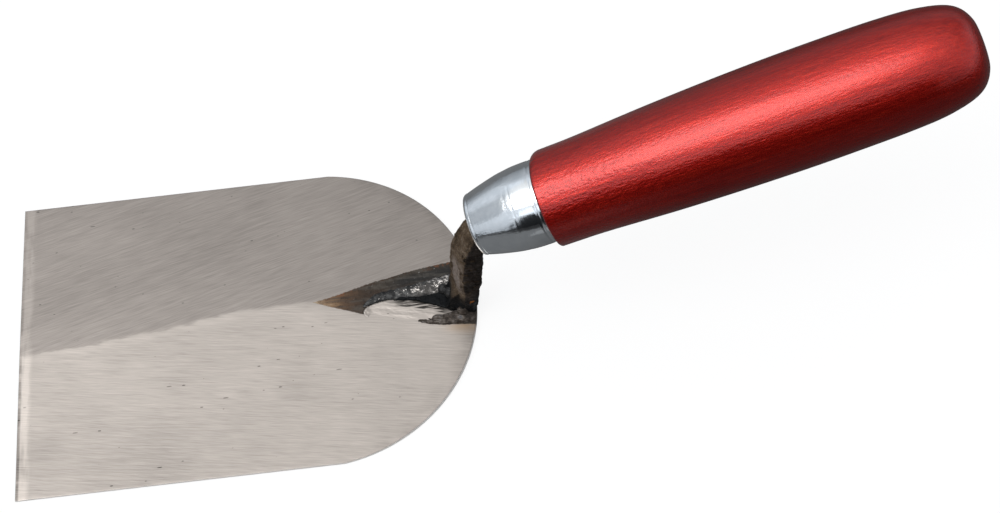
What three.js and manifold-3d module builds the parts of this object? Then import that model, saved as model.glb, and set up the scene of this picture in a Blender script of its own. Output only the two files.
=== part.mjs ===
// Masonry trowel: a ground steel blade, a forged swan-neck tang welded to it, and a turned wooden
// handle with a plated ferrule.
//
// Frame, in millimetres: the blade lies flat on Z = 0 with +Z up, on the handle's side. The origin is
// the centre of the heel's arc, on the underside. +X runs from the blade's front edge to the handle.

import * as THREE from 'three';
import { mergeVertices } from 'three/addons/utils/BufferGeometryUtils.js';
import Module from 'manifold-3d';

const wasm = await Module();
wasm.setup();

// ---- Driving dimensions ----

const GAP = 0.3; // left between pieces that touch

const BLADE_HALF_WIDTH = 50;
const BLADE_FRONT_X = -91.2;
const HEEL_RADIUS = 50.3;
const SHOULDER_X = 6.8; // where the straight sides end and the heel's arc begins
const FRONT_EDGE_THICKNESS = 0.8;
const SHOULDER_EDGE_THICKNESS = 1.0;
const FRONT_RIDGE_THICKNESS = 1.4;
const ROOT_THICKNESS = 2.3; // the unground steel under the root of the tang

const HANDLE_FRONT = new THREE.Vector3(74, 0, 54.2); // centre of the handle's front face
const HANDLE_TILT = THREE.MathUtils.degToRad(17.3); // the handle rises towards its butt
const HANDLE_YAW = THREE.MathUtils.degToRad(4.9); // and stands a little askew to the blade
const HANDLE_LENGTH = 126.4;
const HANDLE_FRONT_RADIUS = 14;
const HANDLE_FRONT_FILLET = 3;

const FERRULE_LENGTH = 22;
const FERRULE_WALL = 0.8;
const FERRULE_BACK_RADIUS = 12.2;
const FERRULE_MOUTH_RADIUS = 7.8;

const TENON_LENGTH = 10;
const TENON_RADIUS = 10.2;
const BORE_DEPTH = 60;
const BORE_MOUTH_RADIUS = 5;
const BORE_END_RADIUS = 2.7;

const NECK_HALF_WIDTH = 4;
const TANG_CHAMFER = 1.2;
const SPIKE_DEPTH = 57; // how far the spike reaches into the handle
const SPIKE_START_HALF = 3.2;
const SPIKE_END_HALF = 1.6;

const TURNED_SEGMENTS = 48;
const HEEL_SEGMENTS = 40;
const CUTTER_HEIGHT = 30;

// ---- Solids and booleans ----

function toSolid(geometry) {
  const bare = geometry.clone();
  bare.deleteAttribute('normal');
  bare.deleteAttribute('uv');
  const merged = mergeVertices(bare, 1e-4);
  const mesh = new wasm.Mesh({
    numProp: 3,
    vertProperties: new Float32Array(merged.attributes.position.array),
    triVerts: new Uint32Array(merged.index.array),
  });
  return new wasm.Manifold(mesh);
}

function toGeometry(solid) {
  const mesh = solid.getMesh();
  const geometry = new THREE.BufferGeometry();
  geometry.setAttribute('position', new THREE.BufferAttribute(new Float32Array(mesh.vertProperties), 3));
  geometry.setIndex(new THREE.BufferAttribute(new Uint32Array(mesh.triVerts), 1));
  geometry.computeVertexNormals();
  return geometry;
}

function polygonShape(points) {
  return new THREE.Shape(points.map(([x, y]) => new THREE.Vector2(x, y)));
}

// A flat outline in the XY plane, raised from z = bottom to z = top.
function raise(shape, bottom, top) {
  const options = { depth: top - bottom, bevelEnabled: false, curveSegments: HEEL_SEGMENTS };
  return new THREE.ExtrudeGeometry(shape, options).translate(0, 0, bottom);
}

// An outline drawn in the XZ plane, centred on y = 0 with its long edges chamfered.
function raiseSideways(shape, width, chamfer = 0) {
  const options = {
    depth: width - 2 * chamfer,
    bevelEnabled: chamfer > 0,
    bevelSize: chamfer,
    bevelThickness: chamfer,
    bevelOffset: -chamfer,
    bevelSegments: 1,
    curveSegments: 2,
  };
  const geometry = new THREE.ExtrudeGeometry(shape, options);
  return geometry.translate(0, 0, chamfer - width / 2).rotateX(Math.PI / 2);
}

// A closed solid through rings of points, each ring counterclockwise about the direction of travel.
function loft(rings) {
  const size = rings[0].length;
  const last = (rings.length - 1) * size;
  const index = [];
  for (let ring = 0; ring < last; ring += size) {
    for (let i = 0; i < size; i += 1) {
      const j = (i + 1) % size;
      index.push(ring + i, ring + j, ring + size + j);
      index.push(ring + i, ring + size + j, ring + size + i);
    }
  }
  for (let i = 1; i < size - 1; i += 1) {
    index.push(0, i + 1, i);
    index.push(last, last + i, last + i + 1);
  }
  const geometry = new THREE.BufferGeometry().setFromPoints(rings.flat());
  geometry.setIndex(index);
  return geometry;
}

// ---- Blade ----

function bladeOutline() {
  const shoulderY = Math.sqrt(HEEL_RADIUS ** 2 - SHOULDER_X ** 2);
  const shoulderAngle = Math.atan2(shoulderY, SHOULDER_X);
  const shape = new THREE.Shape();
  shape.moveTo(BLADE_FRONT_X, -BLADE_HALF_WIDTH);
  shape.lineTo(SHOULDER_X, -shoulderY);
  shape.absarc(0, 0, HEEL_RADIUS, -shoulderAngle, shoulderAngle, false);
  shape.lineTo(BLADE_FRONT_X, BLADE_HALF_WIDTH);
  return shape;
}

// Where the ground facets end. They meet in a ridge as far as x = 0 and part there round the root.
const ROOT_LINES = [
  { x: -95, near: -2.3, far: -2.3, height: FRONT_RIDGE_THICKNESS },
  { x: 0, near: 5, far: 5, height: ROOT_THICKNESS },
  { x: 15.8, near: -1.5, far: 8.6, height: ROOT_THICKNESS },
  { x: 33, near: -6.1, far: 12, height: ROOT_THICKNESS },
  { x: 55, near: -9.4, far: 15, height: ROOT_THICKNESS },
];

// The space under the blade's ground top, as a block wider than the blade.
function underTop(clearance) {
  const reach = BLADE_HALF_WIDTH + 10;
  const rings = ROOT_LINES.map(({ x, near, far, height }) => {
    const along = THREE.MathUtils.clamp((x - BLADE_FRONT_X) / (SHOULDER_X - BLADE_FRONT_X), 0, 1);
    const edge = THREE.MathUtils.lerp(FRONT_EDGE_THICKNESS, SHOULDER_EDGE_THICKNESS, along);
    const nearFall = (height - edge) / (BLADE_HALF_WIDTH + near);
    const farFall = (height - edge) / (BLADE_HALF_WIDTH - far);
    const outline = [
      [-reach, -5],
      [reach, -5],
      [reach, height - farFall * (reach - far)],
      [far, height],
      [near, height],
      [-reach, height - nearFall * (reach + near)],
    ];
    return outline.map(([y, z]) => new THREE.Vector3(x, y, z > 0 ? z + clearance : z));
  });
  return toSolid(loft(rings));
}

function bladeSolid() {
  const plate = toSolid(raise(bladeOutline(), 0, ROOT_THICKNESS + 1));
  return plate.intersect(underTop(0));
}

// ---- Tang: foot on the blade, swan neck, and spike inside the handle ----

const FOOT_FAR_SIDE = [[24.8, 1.7], [30.8, 2.7], [36.8, 3], [43.8, 2.4], [49.4, 2]];
const FOOT_NEAR_SIDE = [[24.8, 1.2], [30.8, 0.8], [34.8, -0.6], [38.8, -2.6], [43.8, -5], [49.4, -5.6]];
const FOOT_TOP = [[24, 3], [30.8, 4], [35.8, 5.2], [39.8, 7.6], [42.8, 11], [44.6, 16], [49.4, 16]];

function footSolid() {
  const bottom = ROOT_THICKNESS + GAP;
  const plan = polygonShape([...FOOT_NEAR_SIDE, ...FOOT_FAR_SIDE.slice().reverse()]);
  const side = polygonShape([[49.4, bottom], [24, bottom], ...FOOT_TOP]);
  const column = toSolid(raise(plan, bottom, CUTTER_HEIGHT));
  return column.intersect(toSolid(raiseSideways(side, CUTTER_HEIGHT)));
}

// The neck and the spike seen from the side, with x counted back from the handle's front face.
function neckSide() {
  const bottom = ROOT_THICKNESS + GAP;
  const along = new THREE.Vector2(Math.cos(HANDLE_TILT), Math.sin(HANDLE_TILT));
  const across = new THREE.Vector2(-along.y, along.x);
  const onSpike = (distance, offset) => new THREE.Vector2(0, HANDLE_FRONT.z)
    .addScaledVector(along, distance)
    .addScaledVector(across, offset);
  const front = [
    [-30.2, 12], [-30.1, 20], [-29.8, 26], [-28.9, 33], [-27.6, 38.5], [-25.4, 43.2], [-22.4, 47.2],
  ];
  const back = [[-16, 44.4], [-18.6, 41.4], [-19.9, 38], [-20.4, 31], [-21.4, 21], [-22.9, 12]];
  const toVectors = (points) => points.map(([x, z]) => new THREE.Vector2(x, z));
  const shape = new THREE.Shape();
  shape.moveTo(-30.4, bottom);
  const spikeStart = [onSpike(-TENON_LENGTH - 5, 3.1), onSpike(-TENON_LENGTH, SPIKE_START_HALF)];
  shape.splineThru([...toVectors(front), ...spikeStart]);
  shape.lineTo(...onSpike(SPIKE_DEPTH, SPIKE_END_HALF).toArray());
  shape.lineTo(...onSpike(SPIKE_DEPTH, -SPIKE_END_HALF).toArray());
  shape.lineTo(...onSpike(-TENON_LENGTH, -SPIKE_START_HALF).toArray());
  shape.splineThru([...toVectors(back), new THREE.Vector2(-24.4, bottom)]);
  return shape;
}

function neckPlan() {
  const halfWidths = [
    [-34, NECK_HALF_WIDTH], [-19, NECK_HALF_WIDTH], [-9.5, SPIKE_START_HALF], [56, SPIKE_END_HALF],
  ];
  const nearSide = halfWidths.map(([x, half]) => [x, -half]);
  const farSide = halfWidths.map(([x, half]) => [x, half]).reverse();
  return polygonShape([...nearSide, ...farSide]);
}

function tangSolid() {
  const side = raiseSideways(neckSide(), 2 * NECK_HALF_WIDTH, TANG_CHAMFER);
  const plan = raise(neckPlan(), 0, 100);
  for (const geometry of [side, plan]) {
    geometry.rotateZ(HANDLE_YAW);
    geometry.translate(HANDLE_FRONT.x, HANDLE_FRONT.y, 0);
  }
  return toSolid(side).intersect(toSolid(plan)).add(footSolid());
}

// ---- Welds between the tang and the blade ----

// A run of overlapping drops of weld metal, each given as x, y and radius.
function weldRun(drops) {
  const solids = drops.map(([x, y, radius]) => {
    const drop = new THREE.SphereGeometry(radius, 12, 8);
    drop.scale(1.3, 1, 0.8).translate(x, y, ROOT_THICKNESS + GAP);
    return toSolid(drop);
  });
  return solids.reduce((run, drop) => run.add(drop));
}

function cutAlong(solid, points) {
  return solid.subtract(toSolid(raise(polygonShape(points), -1, CUTTER_HEIGHT)));
}

const shifted = (points, dy) => points.map(([x, y]) => [x, y + dy]);
const SPLIT_LINE = [[10, -0.8], [15.8, 0.2], [20.8, 1]]; // parts the two welds ahead of the foot

function farWeldSolid() {
  const drops = [
    [17.6, 1.6, 1.3], [21, 2.8, 1.8], [25, 3.5, 2.1], [29.3, 4.3, 2.4],
    [33.6, 4.8, 2.6], [38, 4.9, 2.7], [42.2, 4.9, 2.8], [45.6, 4.6, 2.7],
  ];
  const limit = shifted([...SPLIT_LINE, ...FOOT_FAR_SIDE], GAP);
  const nearHalf = [...limit, [60, 2.6], [60, -20], [10, -20]].reverse();
  const neckSpace = [[43.2, -10], [52, -10], [52, 3.6], [43.2, 2.8]];
  return cutAlong(cutAlong(weldRun(drops), nearHalf), neckSpace).subtract(underTop(GAP));
}

const GROUND_WELD_OUTLINE = [
  [15.3, -1.2], [33, -6.2], [37.5, -5.2], [43.2, -4.7], [43.2, -2], [24.8, 3], [17, 1],
];

function groundWeldSolid() {
  const lump = toSolid(raise(polygonShape(GROUND_WELD_OUTLINE), 1, 8));
  const ground = new THREE.BoxGeometry(60, 40, 10);
  ground.translate(0, 0, -5).rotateX(THREE.MathUtils.degToRad(12)).rotateZ(THREE.MathUtils.degToRad(-15));
  ground.translate(28, -4.6, ROOT_THICKNESS + 0.6);
  const limit = shifted([...SPLIT_LINE, ...FOOT_NEAR_SIDE], -GAP);
  const farHalf = [...limit, [60, -5.6], [60, 20], [10, 20]];
  return cutAlong(lump.intersect(toSolid(ground)), farHalf).subtract(underTop(GAP));
}

function heelWeldSolid() {
  const drops = [
    [36, -6.4, 1.3], [38.4, -6.4, 1.8], [41.2, -6.5, 2.2], [44.2, -6.5, 2.5], [46.8, -6.3, 2.5],
  ];
  const besideGround = [[30, -6.3], [33, -6.5], [37.5, -5.5], [43.4, -5.3], [43.4, 20], [30, 20]];
  const besideFoot = [
    ...shifted(FOOT_NEAR_SIDE.slice(0, 4), -GAP), [43.4, -7], [60, -5.5], [60, 20], [24.8, 20],
  ];
  return cutAlong(cutAlong(weldRun(drops), besideGround), besideFoot).subtract(underTop(GAP));
}

// ---- Ferrule and handle, turned about +Y, with y counted back from the handle's front face ----

function ferruleOuter() {
  return new THREE.SplineCurve([
    new THREE.Vector2(FERRULE_BACK_RADIUS, -GAP),
    new THREE.Vector2(FERRULE_BACK_RADIUS, -5),
    new THREE.Vector2(11.5, -11.5),
    new THREE.Vector2(10.4, -16.4),
    new THREE.Vector2(9.2, -20.8),
  ]).getPoints(12);
}

function ferruleGeometry() {
  const outer = ferruleOuter();
  const lip = [
    new THREE.Vector2(8.8, -FERRULE_LENGTH + 0.3),
    new THREE.Vector2(8.2, -FERRULE_LENGTH),
    new THREE.Vector2(FERRULE_MOUTH_RADIUS, -FERRULE_LENGTH + 0.2),
    new THREE.Vector2(FERRULE_MOUTH_RADIUS, -FERRULE_LENGTH + 0.9),
  ];
  const inner = outer.map(({ x, y }) => new THREE.Vector2(x - FERRULE_WALL, y)).reverse();
  const profile = [...outer, ...lip, ...inner, outer[0].clone()].reverse();
  return new THREE.LatheGeometry(profile, TURNED_SEGMENTS);
}

function handleGeometry() {
  const flatRadius = HANDLE_FRONT_RADIUS - HANDLE_FRONT_FILLET;
  const fillet = new THREE.EllipseCurve(
    flatRadius, HANDLE_FRONT_FILLET, HANDLE_FRONT_FILLET, HANDLE_FRONT_FILLET, -Math.PI / 2, 0,
  ).getPoints(5);
  const swell = new THREE.SplineCurve([
    new THREE.Vector2(HANDLE_FRONT_RADIUS, HANDLE_FRONT_FILLET),
    new THREE.Vector2(14.2, 14),
    new THREE.Vector2(15.4, 37),
    new THREE.Vector2(16.1, 62),
    new THREE.Vector2(16.2, 84),
    new THREE.Vector2(15.9, 101),
    new THREE.Vector2(14.9, 113),
    new THREE.Vector2(12.3, 121.6),
    new THREE.Vector2(7.2, 125.6),
    new THREE.Vector2(0, HANDLE_LENGTH),
  ]).getPoints(36);
  const profile = [
    new THREE.Vector2(0, BORE_DEPTH),
    new THREE.Vector2(BORE_END_RADIUS, BORE_DEPTH),
    new THREE.Vector2(BORE_MOUTH_RADIUS, -TENON_LENGTH),
    new THREE.Vector2(TENON_RADIUS, -TENON_LENGTH),
    new THREE.Vector2(TENON_RADIUS + 0.4, 0),
    ...fillet,
    ...swell.slice(1),
  ];
  return new THREE.LatheGeometry(profile, TURNED_SEGMENTS);
}

// ---- Assembly ----

function material(color, roughness, metalness) {
  return new THREE.MeshStandardMaterial({ color, roughness, metalness });
}

function namedMesh(name, geometry, finish) {
  const mesh = new THREE.Mesh(geometry, finish);
  mesh.name = name;
  return mesh;
}

const trowel = new THREE.Group();
trowel.add(
  namedMesh('blade', toGeometry(bladeSolid()), material(0xb0a9a2, 0.4, 1)),
  namedMesh('tang', toGeometry(tangSolid()), material(0x2c241f, 0.7, 0.6)),
  namedMesh('weld_far', toGeometry(farWeldSolid()), material(0x4a4744, 0.5, 0.8)),
  namedMesh('weld_ground', toGeometry(groundWeldSolid()), material(0xc0b8b0, 0.35, 1)),
  namedMesh('weld_heel', toGeometry(heelWeldSolid()), material(0x35302c, 0.6, 0.7)),
);

const handleGroup = new THREE.Group();
handleGroup.position.copy(HANDLE_FRONT);
handleGroup.rotation.set(0, -HANDLE_TILT, HANDLE_YAW, 'ZYX');
const turned = [
  namedMesh('ferrule', ferruleGeometry(), material(0xb9c2c8, 0.2, 1)),
  namedMesh('handle', handleGeometry(), material(0xa01418, 0.35, 0)),
];
for (const mesh of turned) {
  mesh.rotation.z = -Math.PI / 2;
  handleGroup.add(mesh);
}
trowel.add(handleGroup);

export default trowel;
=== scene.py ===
import math

import bpy
from mathutils import Euler, Matrix, Vector, noise


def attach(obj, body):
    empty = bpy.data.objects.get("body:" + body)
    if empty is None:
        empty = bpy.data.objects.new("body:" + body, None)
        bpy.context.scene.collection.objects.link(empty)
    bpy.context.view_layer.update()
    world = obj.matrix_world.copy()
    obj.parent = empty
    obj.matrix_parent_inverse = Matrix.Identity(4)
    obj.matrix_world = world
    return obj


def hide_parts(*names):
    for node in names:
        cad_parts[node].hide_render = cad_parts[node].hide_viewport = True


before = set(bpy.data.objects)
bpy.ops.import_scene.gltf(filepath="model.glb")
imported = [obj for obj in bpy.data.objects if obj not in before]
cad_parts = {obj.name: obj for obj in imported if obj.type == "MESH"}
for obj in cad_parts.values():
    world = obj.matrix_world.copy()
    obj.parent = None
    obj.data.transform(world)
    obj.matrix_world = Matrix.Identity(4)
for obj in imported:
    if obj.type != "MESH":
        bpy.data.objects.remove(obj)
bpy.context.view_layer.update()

MM = 0.001

# noise_vector takes its offsets from this seed. Unset, it takes them from the clock, and no two runs agree.
NOISE_SEED = 1
noise.seed_set(NOISE_SEED)

# ---- Dimensions, in millimetres, as in the CAD model ----

HALF_WIDTH = 50
FRONT_X = -91.2
HEEL_RADIUS = 50.3
SHOULDER_X = 6.8
FRONT_EDGE_THICKNESS = 0.8
SHOULDER_EDGE_THICKNESS = 1.0
# Where the ground facets end, as (x, near y, far y, height).
ROOT_LINES = [
    (-95, -2.3, -2.3, 1.4), (0, 5, 5, 2.3), (15.8, -1.5, 8.6, 2.3), (33, -6.1, 12, 2.3), (55, -9.4, 15, 2.3),
]

HANDLE_FRONT = Vector((74, 0, 54.2))
HANDLE_TILT = math.radians(17.3)
HANDLE_YAW = math.radians(4.9)
HANDLE_LENGTH = 126.4
HANDLE_FRONT_RADIUS = 14
HANDLE_CORNER_RADIUS = 0.5
TENON_LENGTH = 10
TENON_RADIUS = 10.2
BORE_DEPTH = 60
BORE_MOUTH_RADIUS = 5
BORE_END_RADIUS = 2.7
FERRULE_WALL = 0.8
AXIS_EULER = Euler((0, -HANDLE_TILT, HANDLE_YAW))
AXIS_TO_ROW = Matrix.Translation(HANDLE_FRONT) @ AXIS_EULER.to_matrix().to_4x4()


# ---- Small tools ----

def lerp(a, b, t):
    return a + (b - a) * t


def clamp(value, low=0.0, high=1.0):
    return max(low, min(high, value))


def smoothstep(low, high, value):
    t = clamp((value - low) / (high - low))
    return t * t * (3 - 2 * t)


def follow(points, x):
    """The value at x on a line through (x, value) points."""
    if x <= points[0][0]:
        return points[0][1]
    for (x0, v0), (x1, v1) in zip(points, points[1:]):
        if x <= x1:
            return lerp(v0, v1, (x - x0) / (x1 - x0))
    return points[-1][1]


def spline(points, count):
    """A uniform Catmull-Rom curve through the points."""
    last = len(points) - 1
    result = []
    for i in range(count + 1):
        at = last * i / count
        k = min(int(at), last - 1)
        t = at - k
        p = [Vector(points[clamp(j, 0, last)]) for j in (k - 1, k, k + 1, k + 2)]
        v0, v1 = (p[2] - p[0]) / 2, (p[3] - p[1]) / 2
        cubic = 2 * p[1] - 2 * p[2] + v0 + v1
        square = 3 * p[2] - 3 * p[1] - 2 * v0 - v1
        result.append(cubic * t ** 3 + square * t ** 2 + v0 * t + p[1])
    return result


def ripple(x, y, z, size, seed=0.0):
    """Smooth noise from about -1 to 1 with features of that size."""
    return noise.noise(Vector((x / size + seed, y / size - seed, z / size + 2 * seed)))


def make_piece(name, vertices, faces, finish, smooth=True):
    mesh = bpy.data.meshes.new(name)
    mesh.from_pydata([Vector(v) * MM for v in vertices], [], faces)
    mesh.validate()
    mesh.materials.append(finish)
    if smooth:
        mesh.shade_smooth()
    piece = bpy.data.objects.new(name, mesh)
    bpy.context.scene.collection.objects.link(piece)
    return piece


def place(piece, slot, *nodes):
    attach(piece, "root")
    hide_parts(*nodes)


# ---- Node trees ----

class Nodes:
    """Short ways to build a material's or a world's node tree."""

    def __init__(self, owner):
        owner.use_nodes = True
        self.tree = owner.node_tree
        self.tree.nodes.clear()

    def add(self, kind, inputs=None, output=0, **settings):
        node = self.tree.nodes.new("ShaderNode" + kind)
        for key, value in settings.items():
            setattr(node, key, value)
        for key, value in (inputs or {}).items():
            self.put(node.inputs[key], value)
        return node.outputs[output]

    def put(self, socket, value):
        if isinstance(value, bpy.types.NodeSocket):
            self.tree.links.new(value, socket)
        else:
            socket.default_value = value

    def split(self, vector):
        node = self.tree.nodes.new("ShaderNodeSeparateXYZ")
        self.put(node.inputs[0], vector)
        return tuple(node.outputs)

    def math(self, operation, a, b=0.0):
        return self.add("Math", {0: a, 1: b}, operation=operation)

    def total(self, *values):
        result = values[0]
        for value in values[1:]:
            result = self.math("ADD", result, value)
        return result

    def product(self, *values):
        result = values[0]
        for value in values[1:]:
            result = self.math("MULTIPLY", result, value)
        return result

    def step(self, value, low, high, to_low=0.0, to_high=1.0, kind="SMOOTHSTEP"):
        inputs = {"Value": value, "From Min": low, "From Max": high, "To Min": to_low, "To Max": to_high}
        return self.add("MapRange", inputs, interpolation_type=kind)

    def between(self, value, low, high, soft):
        """1 from low to high and 0 outside, with edges that are soft on both sides."""
        rise = self.step(value, low - soft, low + soft)
        fall = self.step(value, high + soft, high - soft)
        return self.product(rise, fall)

    def mapped(self, vector, scale=(1, 1, 1), turn=(0, 0, 0), shift=(0, 0, 0), kind="POINT"):
        inputs = {"Vector": vector, "Location": shift, "Rotation": turn, "Scale": scale}
        return self.add("Mapping", inputs, vector_type=kind)

    def noise(self, vector, scale=1.0, detail=3.0, roughness=0.5, distortion=0.0):
        return self.add("TexNoise", {
            "Vector": vector, "Scale": scale, "Detail": detail, "Roughness": roughness,
            "Distortion": distortion,
        })

    def cells(self, vector, scale, feature="F1", output="Distance"):
        inputs = {"Vector": vector, "Scale": scale, "Randomness": 1.0}
        return self.add("TexVoronoi", inputs, output, feature=feature)

    def centred(self, value):
        """Noise from 0 to 1, moved to lie round 0."""
        return self.math("SUBTRACT", value, 0.5)

    def distance(self, x, y):
        return self.math("POWER", self.total(self.product(x, x), self.product(y, y)), 0.5)

    def mix(self, factor, a, b, blend_type="MIX"):
        node = self.tree.nodes.new("ShaderNodeMix")
        node.data_type = "RGBA"
        node.blend_type = blend_type
        for socket, value in ((0, factor), (6, a), (7, b)):
            self.put(node.inputs[socket], value)
        return node.outputs[2]

    def ramp(self, factor, stops):
        node = self.tree.nodes.new("ShaderNodeValToRGB")
        self.put(node.inputs["Fac"], factor)
        elements = node.color_ramp.elements
        while len(elements) < len(stops):
            elements.new(0.5)
        for element, (position, color) in zip(elements, stops):
            element.position = position
            element.color = color
        return node.outputs["Color"]

    def line(self, value, points):
        """A line through (x, value) points, as a Float Curve."""
        xs, ys = [p[0] for p in points], [p[1] for p in points]
        low, high = min(ys), max(ys)
        node = self.tree.nodes.new("ShaderNodeFloatCurve")
        curve = node.mapping.curves[0]
        while len(curve.points) < len(points):
            curve.points.new(0.5, 0.5)
        for point, x, y in zip(curve.points, xs, ys):
            point.location = ((x - xs[0]) / (xs[-1] - xs[0]), (y - low) / (high - low))
            point.handle_type = "VECTOR"
        node.mapping.update()
        self.put(node.inputs["Value"], self.step(value, xs[0], xs[-1], kind="LINEAR"))
        return self.step(node.outputs[0], 0.0, 1.0, low, high, kind="LINEAR")

    def inverse(self, value):
        return self.math("SUBTRACT", 1.0, value)

    def grey(self, value):
        return self.add("CombineColor", {0: value, 1: value, 2: value})

    def bump(self, height, depth):
        """depth is the height of a full step, in millimetres."""
        return self.add("Bump", {"Height": height, "Distance": depth * MM})


def srgb(red, green, blue):
    """A colour as a node takes it, from channels of 0 to 255."""
    def linear(value):
        c = value / 255
        return c / 12.92 if c <= 0.04045 else ((c + 0.055) / 1.055) ** 2.4
    return (linear(red), linear(green), linear(blue), 1.0)


def new_finish(name):
    material = bpy.data.materials.new(name)
    nodes = Nodes(material)
    coordinates = nodes.add("TexCoord", output="Object")
    return material, nodes, nodes.mapped(coordinates, scale=(1 / MM,) * 3)


def shade(nodes, **inputs):
    """The Principled shader. An underscore in a name stands for a space."""
    shader = nodes.add("BsdfPrincipled", {key.replace("_", " "): value for key, value in inputs.items()})
    nodes.put(nodes.tree.nodes.new("ShaderNodeOutputMaterial").inputs["Surface"], shader)


# ---- Camera ----

def make_camera():
    target = Vector((59.05, 0, 24.74)) * MM
    distance = 547.07 * MM
    azimuth, elevation, roll = (math.radians(a) for a in (0.945, 60.62, -7.38))
    back = Vector((
        math.sin(azimuth) * math.cos(elevation),
        -math.cos(azimuth) * math.cos(elevation),
        math.sin(elevation),
    ))
    right = Vector((math.cos(azimuth), math.sin(azimuth), 0))
    up = back.cross(right)
    x_axis = math.cos(roll) * right + math.sin(roll) * up
    y_axis = -math.sin(roll) * right + math.cos(roll) * up
    data = bpy.data.cameras.new("camera")
    data.lens = 66.53
    data.sensor_width = 36
    data.clip_start, data.clip_end = 0.01, 100
    camera = bpy.data.objects.new("camera", data)
    turn = Matrix((x_axis, y_axis, back)).transposed().to_4x4()
    camera.matrix_world = Matrix.Translation(target + distance * back) @ turn
    bpy.context.scene.collection.objects.link(camera)
    bpy.context.scene.camera = camera


# ---- Studio: a large soft light overhead, grey walls, and a plain pale floor ----

PALE = (1.0, 1.0, 1.0, 1.0)

# Angles are in degrees, and directions round the studio start from the viewer's side.
KEY_AROUND, KEY_HEIGHT = -62, 60
PANEL_LEVELS = [(90, 0.2), (66, 0.45), (45, 0.85), (30, 1.05), (19, 1.9), (12, 4.8), (0, 5.2)]  # from the key
WALL_LEVELS = [(-90, 0.06), (-20, 0.1), (0, 0.26), (25, 0.5), (44, 0.55), (60, 0.5), (90, 0.3)]  # by height

FLOOR_REACH = 4000
FLOOR_TOP = -0.05


def make_world():
    """White to the camera. To all else it is a light panel, grey walls, a dark gap and a few soft cards."""
    world = bpy.data.worlds.new("studio")
    bpy.context.scene.world = world
    nodes = Nodes(world)
    direction = nodes.add("TexCoord", output="Generated")
    x, y, z = nodes.split(direction)
    height = nodes.math("DEGREES", nodes.math("ARCSINE", z))
    around = nodes.math("DEGREES", nodes.math("ARCTAN2", x, nodes.math("MULTIPLY", y, -1.0)))

    key_around, key_height = math.radians(KEY_AROUND), math.radians(KEY_HEIGHT)
    key = (
        math.sin(key_around) * math.cos(key_height),
        -math.cos(key_around) * math.cos(key_height),
        math.sin(key_height),
    )
    to_key = nodes.add("VectorMath", {0: direction, 1: key}, "Value", operation="DOT_PRODUCT")
    # The panel is flat: a ray meets it where its slopes from the vertical are small enough. It has one seam.
    upright = nodes.math("MAXIMUM", z, 0.02)
    to_left = nodes.math("DIVIDE", nodes.total(nodes.product(x, -0.99), nodes.product(y, -0.14)), upright)
    to_viewer = nodes.math("DIVIDE", nodes.product(y, -1.0), upright)
    seam = nodes.between(to_viewer, 0.73, 0.93, 0.03)
    panel = nodes.product(
        nodes.between(to_left, -1.6, 0.84, 0.07), nodes.between(to_viewer, -1.7, 1.35, 0.1),
        nodes.inverse(nodes.product(seam, 0.7)),
    )
    panel_levels = [(math.cos(math.radians(angle)), level) for angle, level in PANEL_LEVELS]
    ceiling = nodes.product(panel, nodes.step(z, 0.0, 0.1), nodes.line(to_key, panel_levels))
    walls = nodes.line(height, WALL_LEVELS)
    dark_gap = nodes.product(nodes.between(around, -26, 19, 3), nodes.between(height, -15, 29, 3))
    white_card = nodes.product(nodes.between(around, -32, -6, 3), nodes.between(height, 29.5, 38, 1.5))
    side_light = nodes.product(nodes.between(around, -60, -25, 5), nodes.between(height, -2, 44, 5))
    back_light = nodes.product(nodes.between(around, -142, -106, 8), nodes.between(height, 12, 40, 7))
    right_light = nodes.product(nodes.between(around, 42, 125, 14), nodes.between(height, 2, 50, 8))
    level = nodes.total(
        nodes.product(
            walls, nodes.inverse(nodes.product(dark_gap, 0.95)), nodes.inverse(nodes.product(panel, 0.9)),
        ),
        ceiling,
        nodes.product(side_light, 0.3),
        nodes.product(back_light, 0.27),
        nodes.product(right_light, 0.4),
        nodes.product(white_card, 0.6),
    )
    tint = nodes.mix(nodes.step(height, 40, 52), (0.94, 0.99, 1.06, 1), (1, 1, 1, 1))
    light = nodes.add("Background", {"Color": tint, "Strength": level})
    seen = nodes.add("Background", {"Color": PALE, "Strength": 1.0})
    is_camera = nodes.add("LightPath", output="Is Camera Ray")
    out = nodes.tree.nodes.new("ShaderNodeOutputWorld")
    nodes.put(out.inputs["Surface"], nodes.add("MixShader", {0: is_camera, 1: light, 2: seen}))


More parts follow.
